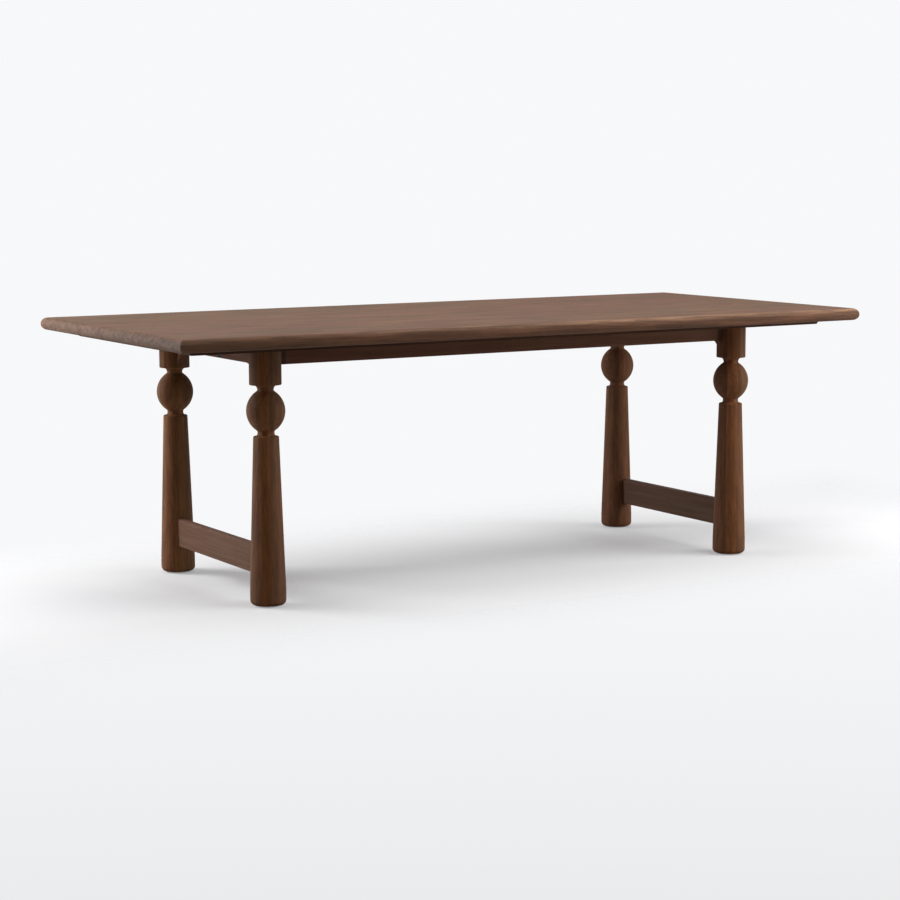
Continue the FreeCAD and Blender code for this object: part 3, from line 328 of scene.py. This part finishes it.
glide_nylon = moulded("glide_brown_nylon", screen(50, 40, 34), 0.45)
zinc = steel("bright_zinc_plate", screen(186, 189, 194), 0.28)
for corner in CORNERS:
    dress(f"{corner}_glide", glide_nylon)
dress("glide_nails", zinc)

# Low stretchers: flat oak rails, 81 mm high and 22 mm thick, housed and dowelled into both legs of an
# end, a little outside their middle. They are stained as the legs are, with the grain along the rail.
# The right one's colours are darkened as painted shade under the table, the left one's lightened as
# painted light from the left.
SHADED_STRETCHER_TONE = {
    "golden": screen(79, 53, 35), "reddish": screen(82, 51, 38), "filled": screen(52, 34, 25),
    "fibres": 0.09, "streaks": 0.07, "rings": 0.02, "bands": 0.05, "pores": 0.40,
}
LIT_STRETCHER_TONE = SHADED_STRETCHER_TONE | {"golden": screen(99, 67, 46), "reddish": screen(102, 65, 49)}
ALONG = 0.0
ACROSS = pi / 2
RAIL_APART = 5.0
RAIL_PITH = (0.2, 0.055, -0.05)


def rail_wood(name, turn, seed, tone, specular=0.30, end_shade=None):
    """Wood of one rail: its turn lays the grain along or across the table, and its pith lies outside it.

    The end shade is painted shade at both ends, where a long apron runs into a leg's block: the
    distances from the table's middle at which it begins and has its full strength, and the share of the
    light that it takes."""
    finish, tree = new_finish(f"{name}_oak")
    place = own_place(tree)
    draws = np.random.default_rng(seed).uniform(-RAIL_APART, RAIL_APART, 3)
    own = tuple(float(value) for value in draws)
    low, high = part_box(name)
    middle = (low + high) / 2
    grain = node(tree, "ShaderNodeMapping", {
        "Vector": reckon_places(tree, "SUBTRACT", place, tuple(middle)),
        "Rotation": (0.0, 0.0, turn),
        "Location": own,
    }).outputs[0]
    pith = tuple(start + shift for start, shift in zip(own, RAIL_PITH))
    colour, height, streaks = oak(tree, grain, pith, tone)
    # Painted shade: darker towards both ends, where the rail meets a leg's block.
    if end_shade:
        begins, full, share = end_shade
        aside = split(tree, reckon_places(tree, "ABSOLUTE", place))["X"]
        shaded_end = step(tree, aside, begins, full)
        colour = scaled(tree, colour, reckon(tree, "MULTIPLY_ADD", shaded_end, -share, 1.0))
    lacquered(tree, (colour, height, streaks), specular)
    return finish


# Lit and shaded copies of one stain: the left stretcher gets painted light, the right one painted shade.
dress("left_stretcher", rail_wood("left_stretcher", ACROSS, 3, LIT_STRETCHER_TONE))
dress("right_stretcher", rail_wood("right_stretcher", ACROSS, 4, SHADED_STRETCHER_TONE))

# Dowels: bare beech pins, 8 and 10 mm thick, glued into the joints of the stretchers, the end aprons,
# the dark frame and the cross rail. They all lie along the table's width, closed in by what they join.
BEECH = screen(205, 167, 122)
BEECH_FLECK = screen(170, 126, 84)
FLECK_SWELLS = (900.0, 90.0, 900.0)
FLECK_RANGE = (0.45, 0.7)
FLECK_DEPTH = 0.00005
BEECH_SHEEN = 0.2
BEECH_ROUGHNESS = 0.5


def beech(name):
    """Bare beech, with short fine flecks along the pins."""
    finish, tree = new_finish(name)
    fleck = cloud(tree, own_place(tree), FLECK_SWELLS)
    colour = blended(tree, step(tree, fleck, *FLECK_RANGE), BEECH, BEECH_FLECK)
    dullness = reckon(tree, "MULTIPLY_ADD", fleck, BEECH_SHEEN, BEECH_ROUGHNESS)
    surfaced(tree, colour, dullness, fleck, FLECK_DEPTH)
    return finish


bare_beech = beech("bare_beech")
for kind in ("stretcher", "end_apron", "frame", "cross_rail"):
    dress(f"{kind}_dowels", bare_beech)

# Aprons: oak boards, 44 mm high and 20 mm thick, under the dark frame, with a cross rail between the
# long ones. The end ones are glued into their legs, and their lower edge is coved down to the blocks.
# The long ones come off, and their ends are painted darker, as shade at the joint with the blocks.
PAINTED_END_SHADE = (0.735, 0.739, 0.6)
APRON_TONE = SHADED_STRETCHER_TONE | {
    "golden": screen(98, 61, 36), "reddish": screen(100, 59, 40), "filled": screen(54, 33, 21),
}
dress("left_end_apron", rail_wood("left_end_apron", ACROSS, 5, APRON_TONE))
dress("right_end_apron", rail_wood("right_end_apron", ACROSS, 6, APRON_TONE))
dress("front_apron", rail_wood("front_apron", ALONG, 7, APRON_TONE, end_shade=PAINTED_END_SHADE))
dress("back_apron", rail_wood("back_apron", ALONG, 8, APRON_TONE, end_shade=PAINTED_END_SHADE))
dress("centre_cross_rail", rail_wood("centre_cross_rail", ACROSS, 9, APRON_TONE))

# Corner brackets: zinc-plated steel strips, bent across each inside corner behind the leg. A hanger bolt
# with its washer and nut draws the leg into the corner, and screws hold the strip to both aprons.
for corner in CORNERS:
    dress(f"{corner}_bracket", zinc)
for kind in ("hanger_bolts", "hanger_bolt_washers", "hanger_bolt_nuts", "bracket_screws"):
    dress(kind, zinc)

# Dark frame: 15 mm plywood strips, dowelled together and stained nearly black, between the base and
# the top. Its bevelled ends show under the table's ends.
FRAME_TONE = {
    "golden": screen(72, 49, 35), "reddish": screen(77, 52, 38), "filled": screen(46, 31, 22),
    "fibres": 0.12, "streaks": 0.15, "rings": 0.04, "bands": 0.08, "pores": 0.30,
}
FRAME_PIECES = {
    "frame_front_rail": ALONG, "frame_back_rail": ALONG,
    "frame_left_end_member": ACROSS, "frame_right_end_member": ACROSS,
    "frame_left_cross_member": ACROSS, "frame_right_cross_member": ACROSS,
    "frame_centre_cross_member": ACROSS,
}
FRAME_SEED = 20
for seed, (name, turn) in enumerate(FRAME_PIECES.items(), start=FRAME_SEED):
    dress(name, rail_wood(name, turn, seed, FRAME_TONE, specular=0.10))

# Top: eight oak boards, glued edge to edge, with the grain along the table. The panel's edges are
# rounded above and below, and the rounds meet at sharp mitred corners. It is stained and has a matt
# lacquer. The end grain took the stain in blots, and carries a painted sheen and painted light that
# rises towards the back. The upper rounds of the long sides carry a painted highlight, stronger to the
# right.
TOP_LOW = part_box("top_board_1")[0]
TOP_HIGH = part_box("top_board_8")[1]
HALF_LENGTH = TOP_HIGH.x
HALF_WIDTH = TOP_HIGH.y
THICKNESS = TOP_HIGH.z - TOP_LOW.z
UPPER_ROUND = 0.018
LOWER_ROUND = 0.017
BOARDS = 8
BOARD_WIDTH = 2 * HALF_WIDTH / BOARDS
ROUND_STEPS = 16
PLAIN_STEPS = 24
SHARP_EDGE = radians(30)


def quarter(radius, past):
    """How far a quarter circle has drawn in at a distance past its start: r - sqrt(r^2 - past^2)."""
    return radius - np.sqrt(np.maximum(radius ** 2 - np.clip(past, 0, radius) ** 2, 0))


def drawn_in(height):
    """How far the panel's edge lies inside its outline at a height above the underside."""
    above = quarter(UPPER_ROUND, height - (THICKNESS - UPPER_ROUND))
    below = quarter(LOWER_ROUND, LOWER_ROUND - height)
    return above + below


def board_mesh(name, left, right):
    """One board from y = left to y = right: closed sections at stations along x, and two flat ends.

    At a station the board lies between low(x) and high(x), which draw in along the end rounds. At a
    height the panel's half width is W - drawn_in, so the sides are y = max(left, drawn_in - W) and
    y = min(right, W - drawn_in), at the same share of the station's height all along."""
    turn = np.linspace(0, pi / 2, ROUND_STEPS + 1)
    end = HALF_LENGTH - UPPER_ROUND + UPPER_ROUND * np.sin(turn)
    plain = np.linspace(-end[0], end[0], PLAIN_STEPS + 1)[1:-1]
    x = np.concatenate([-end[::-1], plain, end])
    past_high = np.abs(x) - (HALF_LENGTH - UPPER_ROUND)
    past_low = np.abs(x) - (HALF_LENGTH - LOWER_ROUND)
    high = THICKNESS - quarter(UPPER_ROUND, past_high)
    low = quarter(LOWER_ROUND, past_low)
    rise = LOWER_ROUND * (1 - np.cos(turn))
    fall = THICKNESS - UPPER_ROUND + UPPER_ROUND * np.sin(turn)
    share = np.concatenate([rise, fall]) / THICKNESS
    z = low[:, None] + (high - low)[:, None] * share
    half = HALF_WIDTH - drawn_in(z)
    y = np.concatenate([np.maximum(left, -half), np.minimum(right, half)[:, ::-1]], axis=1)
    z = np.concatenate([z, z[:, ::-1]], axis=1)
    points = np.stack([np.broadcast_to(x[:, None], y.shape), y, z + TOP_LOW.z], axis=-1)
    stations, around = y.shape
    index = np.arange(stations * around).reshape(stations, around)
    after = np.roll(index, -1, axis=1)
    sides = np.stack([index[:-1], index[1:], after[1:], after[:-1]], axis=-1).reshape(-1, 4)
    levels = len(share)
    first = index[:, :levels]
    other = index[:, levels:][:, ::-1]
    cap = np.stack([first[:, :-1], first[:, 1:], other[:, 1:], other[:, :-1]], axis=-1)
    faces = np.concatenate([sides, cap[0], cap[-1][:, ::-1]])
    mesh = bpy.data.meshes.new(name)
    mesh.from_pydata(points.reshape(-1, 3), [], faces.tolist())
    mesh.validate()
    mesh.shade_smooth()
    mesh.set_sharp_from_angle(angle=SHARP_EDGE)
    return mesh


TOP_TONE = {
    "golden": screen(90, 62, 35), "reddish": screen(94, 59, 37), "filled": screen(54, 35, 22),
    "fibres": 0.20, "streaks": 0.26, "rings": 0.10, "bands": 0.06, "pores": 0.55,
}
FIRST_BOARD = 41
BOARD_APART = 6.0
PITH_ASIDE = 0.02
PITH_BELOW = 0.06
FLAME_SWELLS = (6.0, 36.0, 36.0)
FLAME_RANGE = (0.32, 0.68)
FLAME = 0.16
# The end grain's blots with their painted sheen, and the painted highlight along the rounds, say how much
# lighter they make the colour.
END_FACE = (0.45, 0.85)
BLOT_SWELLS = (60.0, 45.0, 60.0)
BLOT_RANGE = (0.34, 0.62)
# The blot tints are greyer and bluer than the stain, as a painted sheen, and the end grain gets painted
# light that rises from the front to the back.
BLOT_PALE_SHEEN = (1.36, 1.68, 2.70, 1.0)
BLOT_DARK_SHEEN = (0.92, 1.06, 1.62, 1.0)
END_LIGHT_BACKWARD = 0.62
END_LIGHT_MIDDLE = 1.10
END_STAIN = screen(82, 53, 31)
END_STAIN_SHARE = 0.6
# Painted highlight on the upper rounds: how much lighter it makes each channel, where it rises and stops,
# and its rise towards the right.
ROUND_HIGHLIGHT = (0.90, 1.60, 2.50)
HIGHLIGHT_UPWARD = (0.20, 0.85)
HIGHLIGHT_STOPS_FLAT = (0.970, 0.998)
HIGHLIGHT_STOPS_END = (0.15, 0.50)
HIGHLIGHT_ALONG = (-1.3, 0.1)
NO_CHANGE = (1.0, 1.0, 1.0, 1.0)


def blotted_lit_ends(tree, colour, place, endward):
    """End grain, where the face looks along the table: one stain over the figure, pale and dark blots,
    which are also greyer and bluer as a painted sheen, and painted light that rises from the front to the
    back."""
    at_end = step(tree, endward, *END_FACE)
    blot = step(tree, cloud(tree, place, BLOT_SWELLS), *BLOT_RANGE)
    rise = reckon(tree, "MULTIPLY_ADD", split(tree, place)["Y"], END_LIGHT_BACKWARD, END_LIGHT_MIDDLE)
    blot_and_sheen_tint = scaled(tree, blended(tree, blot, BLOT_DARK_SHEEN, BLOT_PALE_SHEEN), rise)
    colour = blended(tree, reckon(tree, "MULTIPLY", at_end, END_STAIN_SHARE), colour, END_STAIN)
    return reckon_places(tree, "MULTIPLY", colour, blended(tree, at_end, NO_CHANGE, blot_and_sheen_tint))


def highlighted_rounds(tree, colour, place, upward, endward):
    """Painted highlight on the upper rounds: lighter where the face leans up but isn't yet flat and
    doesn't look along the table, and more so towards the right."""
    off_the_flat = reckon(tree, "SUBTRACT", 1.0, step(tree, upward, *HIGHLIGHT_STOPS_FLAT))
    off_the_end = reckon(tree, "SUBTRACT", 1.0, step(tree, endward, *HIGHLIGHT_STOPS_END))
    highlight_share = reckon(tree, "MULTIPLY", step(tree, upward, *HIGHLIGHT_UPWARD), off_the_flat)
    highlight_share = reckon(tree, "MULTIPLY", highlight_share, off_the_end)
    highlight_share = reckon(tree, "MULTIPLY", highlight_share, step(tree, split(tree, place)["X"], *HIGHLIGHT_ALONG))
    paler = reckon_places(tree, "ADD", scaled(tree, ROUND_HIGHLIGHT, highlight_share), NO_CHANGE[:3])
    return reckon_places(tree, "MULTIPLY", colour, paler)


def top_wood():
    """Wood of all the boards: the number of the board across the top picks its part of the figure.

    A board's number is its distance from the front over its width, rounded down, and its pith lies
    below it, a little behind its middle."""
    finish, tree = new_finish("top_oak")
    place = own_place(tree)
    across = reckon(tree, "MULTIPLY_ADD", split(tree, place)["Y"], 1 / BOARD_WIDTH, BOARDS / 2)
    board = reckon(tree, "FLOOR", across)
    offset = scaled(tree, own_draw(tree, reckon(tree, "ADD", board, FIRST_BOARD)), BOARD_APART)
    grain = reckon_places(tree, "ADD", place, offset)
    pith = reckon_places(tree, "ADD", offset, (0.0, PITH_ASIDE, TOP_LOW.z - PITH_BELOW))
    middle = reckon(tree, "MULTIPLY_ADD", board, BOARD_WIDTH, BOARD_WIDTH / 2 - HALF_WIDTH)
    pith = reckon_places(tree, "ADD", pith, joined(tree, Y=middle))
    colour, height, streaks = oak(tree, grain, pith, TOP_TONE)
    flame = step(tree, cloud(tree, grain, FLAME_SWELLS), *FLAME_RANGE)
    colour = scaled(tree, colour, swing(tree, flame, FLAME))
    facing = split(tree, node(tree, "ShaderNodeNewGeometry", {}).outputs["Normal"])
    endward = reckon(tree, "ABSOLUTE", facing["X"])
    colour = blotted_lit_ends(tree, colour, place, endward)
    colour = highlighted_rounds(tree, colour, place, facing["Z"], endward)
    lacquered(tree, (colour, height, streaks), specular=0.38, roughness=0.80)
    return finish


top_finish = top_wood()
for number in range(BOARDS):
    name = f"top_board_{number + 1}"
    left = BOARD_WIDTH * number - HALF_WIDTH
    piece = bpy.data.objects.new(f"{name}_finished", board_mesh(name, left, left + BOARD_WIDTH))
    bpy.context.scene.collection.objects.link(piece)
    piece.data.materials.append(top_finish)
    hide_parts(name)
    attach(piece, "root")

# Fixings of the top: black steel bolts with dull zinc washers, up into threaded inserts in the boards.
# Button heads hang under the dark frame, and the heads in the aprons are sunk into counterbores.
black_oxide = steel("black_oxide_steel", screen(52, 51, 52), 0.38)
dress("top_bolts", black_oxide)
dress("apron_bolts", black_oxide)
dull_zinc = steel("dull_zinc_plate", screen(104, 104, 106), 0.42)
for kind in ("top_bolt_flat_washers", "top_bolt_spring_washers", "apron_bolt_washers"):
    dress(kind, dull_zinc)
for kind in ("top_bolt_inserts", "apron_bolt_inserts"):
    dress(kind, zinc)

# Floor: a wide pale sheet that fades into the background past the table's ends, and across from right
# under the table outward, so that the table's shadow is painted lighter and tighter, as painted light.
# It throws back only part of its light. Seen from below it is clear, so that the underside can be looked
# at.
FLOOR_COLOUR = (0.90, 0.90, 0.915, 1.0)
FLOOR_RETURN = (0.34, 0.34, 0.34, 1.0)
FLOOR_HALF = 14.0
FADE_ALONG = (1.3, 2.4)
FADE_AND_LIFT_ACROSS = (-0.18, 1.15)


def pale_floor():
    """Paint of the floor: clear where it fades out for the camera, and seen from below."""
    finish, tree = new_finish("pale_floor")
    aside = split(tree, reckon_places(tree, "ABSOLUTE", own_place(tree)))
    # The fade across begins under the table, so it also lifts the table's shadow there: painted light.
    far_along = step(tree, aside["X"], *FADE_ALONG)
    faded_or_lifted = reckon(tree, "MAXIMUM", far_along, step(tree, aside["Y"], *FADE_AND_LIFT_ACROSS))
    rays = node(tree, "ShaderNodeLightPath", {}).outputs
    below = node(tree, "ShaderNodeNewGeometry", {}).outputs["Backfacing"]
    clear = reckon(tree, "MAXIMUM", reckon(tree, "MULTIPLY", faded_or_lifted, rays["Is Camera Ray"]), below)
    colour = blended(tree, rays["Is Diffuse Ray"], FLOOR_COLOUR, FLOOR_RETURN)
    paint = node(tree, "ShaderNodeBsdfDiffuse", {"Color": colour}).outputs[0]
    nothing = node(tree, "ShaderNodeBsdfTransparent", {}).outputs[0]
    mixed = node(tree, "ShaderNodeMixShader", {0: clear, 1: paint, 2: nothing})
    tree.nodes.remove(tree.nodes["Principled BSDF"])
    tree.links.new(mixed.outputs[0], tree.nodes["Material Output"].inputs["Surface"])
    return finish


floor_corners = [(x * FLOOR_HALF, y * FLOOR_HALF, 0) for x, y in ((-1, -1), (1, -1), (1, 1), (-1, 1))]
floor_mesh = bpy.data.meshes.new("floor")
floor_mesh.from_pydata(floor_corners, [], [(0, 1, 2, 3)])
floor_mesh.materials.append(pale_floor())
floor_sheet = bpy.data.objects.new("floor", floor_mesh)
bpy.context.scene.collection.objects.link(floor_sheet)

# Studio light: a white room, lighter behind the table, whose far ground shows a little darker as
# painted shade, with two soft panels overhead, two past the right front corner and two past the left end.
ROOM = (0.935, 0.94, 0.95, 1.0)
ROOM_BEHIND = 0.8
GROUND_SHADE = 0.73
GROUND_RANGE = (0.16, 0.34)
PANELS = {
    "overhead": dict(place=(0.0, 0.4, 3.4), target=(0.0, 0.0, 0.0), size=(4.0, 3.0), level=1.45),
    "overhead_front": dict(place=(0.0, -2.2, 3.0), target=(0.0, 0.0, 0.5), size=(3.0, 2.0), level=0.40),
    "right_front": dict(place=(1.5, -2.2, 2.6), target=(0.5, -0.4, 0.7), size=(1.8, 1.8), level=4.1),
    "right_low": dict(place=(2.6, -1.4, 1.0), target=(0.9, -0.3, 0.6), size=(1.2, 1.2), level=8.6),
    "left_low": dict(place=(-2.7, 1.9, 1.3), target=(-1.0, 0.2, 0.6), size=(1.4, 1.4), level=12.0),
    "left_high": dict(place=(-3.0, 0.6, 3.0), target=(-0.8, 0.0, 0.6), size=(2.4, 2.2), level=1.3),
}


def white_room():
    """Light of the room: what shows behind the table, and what falls on the table.

    What shows is white down to the first slope of the ground range, then darker down to the second, as
    painted shade.
    What falls on the table comes from behind it: a ray's part towards the back times a strength."""
    world = bpy.data.worlds.new("studio")
    world.use_nodes = True
    tree = world.node_tree
    rays = node(tree, "ShaderNodeLightPath", {}).outputs
    seen = reckon(tree, "MAXIMUM", rays["Is Camera Ray"], rays["Is Transmission Ray"])
    seen = reckon(tree, "MAXIMUM", seen, rays["Is Glossy Ray"])
    towards = split(tree, node(tree, "ShaderNodeTexCoord", {}).outputs["Generated"])
    behind = reckon(tree, "MULTIPLY", reckon(tree, "MAXIMUM", towards["Y"], 0.0), ROOM_BEHIND)
    level, low = GROUND_RANGE
    downward = reckon(tree, "MULTIPLY", towards["Z"], -1.0)
    downward = node(tree, "ShaderNodeClamp", {0: downward, 1: level, 2: low}).outputs[0]
    shown = reckon(tree, "MULTIPLY_ADD", downward, -GROUND_SHADE, 1 + GROUND_SHADE * level)
    strength = node(tree, "ShaderNodeMix", {0: seen, 2: behind, 3: shown}, data_type="FLOAT").outputs[0]
    background = tree.nodes["Background"]
    background.inputs["Color"].default_value = ROOM
    tree.links.new(strength, background.inputs["Strength"])
    return world


def panel(name, place, target, size, level):
    """A flat rectangular lamp that faces a point; level is its brightness, where 1 is white."""
    lamp = bpy.data.lights.new(name, "AREA")
    lamp.shape = "RECTANGLE"
    lamp.size, lamp.size_y = size
    lamp.energy = level * pi * size[0] * size[1]
    holder = bpy.data.objects.new(name, lamp)
    bpy.context.scene.collection.objects.link(holder)
    holder.visible_camera = False
    holder.location = place
    away = Vector(place) - Vector(target)
    holder.rotation_euler = away.to_track_quat("Z", "Y").to_euler()


bpy.context.scene.world = white_room()
for name, facts in PANELS.items():
    panel(name, **facts)

# Camera: it stands left of the table and in front of it, and looks down a little. Its place, its turns
# and its focal length were found from the table's edges in the picture.
CAMERA_PLACE = (-3.4937, -5.8878, 1.2283)
CAMERA_YAW = 0.53174
CAMERA_PITCH = 0.12837
CAMERA_ROLL = -0.00352
FOCAL_PIXELS = 2273.0
PICTURE_PIXELS = 900
SENSOR = 36.0
camera = bpy.data.cameras.new("camera")
camera.sensor_width = SENSOR
camera.lens = SENSOR * FOCAL_PIXELS / PICTURE_PIXELS
camera_stand = bpy.data.objects.new("camera", camera)
bpy.context.scene.collection.objects.link(camera_stand)
heading = Euler((pi / 2 - CAMERA_PITCH, 0.0, -CAMERA_YAW)).to_matrix()
heading = heading @ Matrix.Rotation(CAMERA_ROLL, 3, "Z")
camera_stand.matrix_world = Matrix.Translation(CAMERA_PLACE) @ heading.to_4x4()
bpy.context.scene.camera = camera_stand
bpy.context.scene.view_settings.view_transform = "Standard"
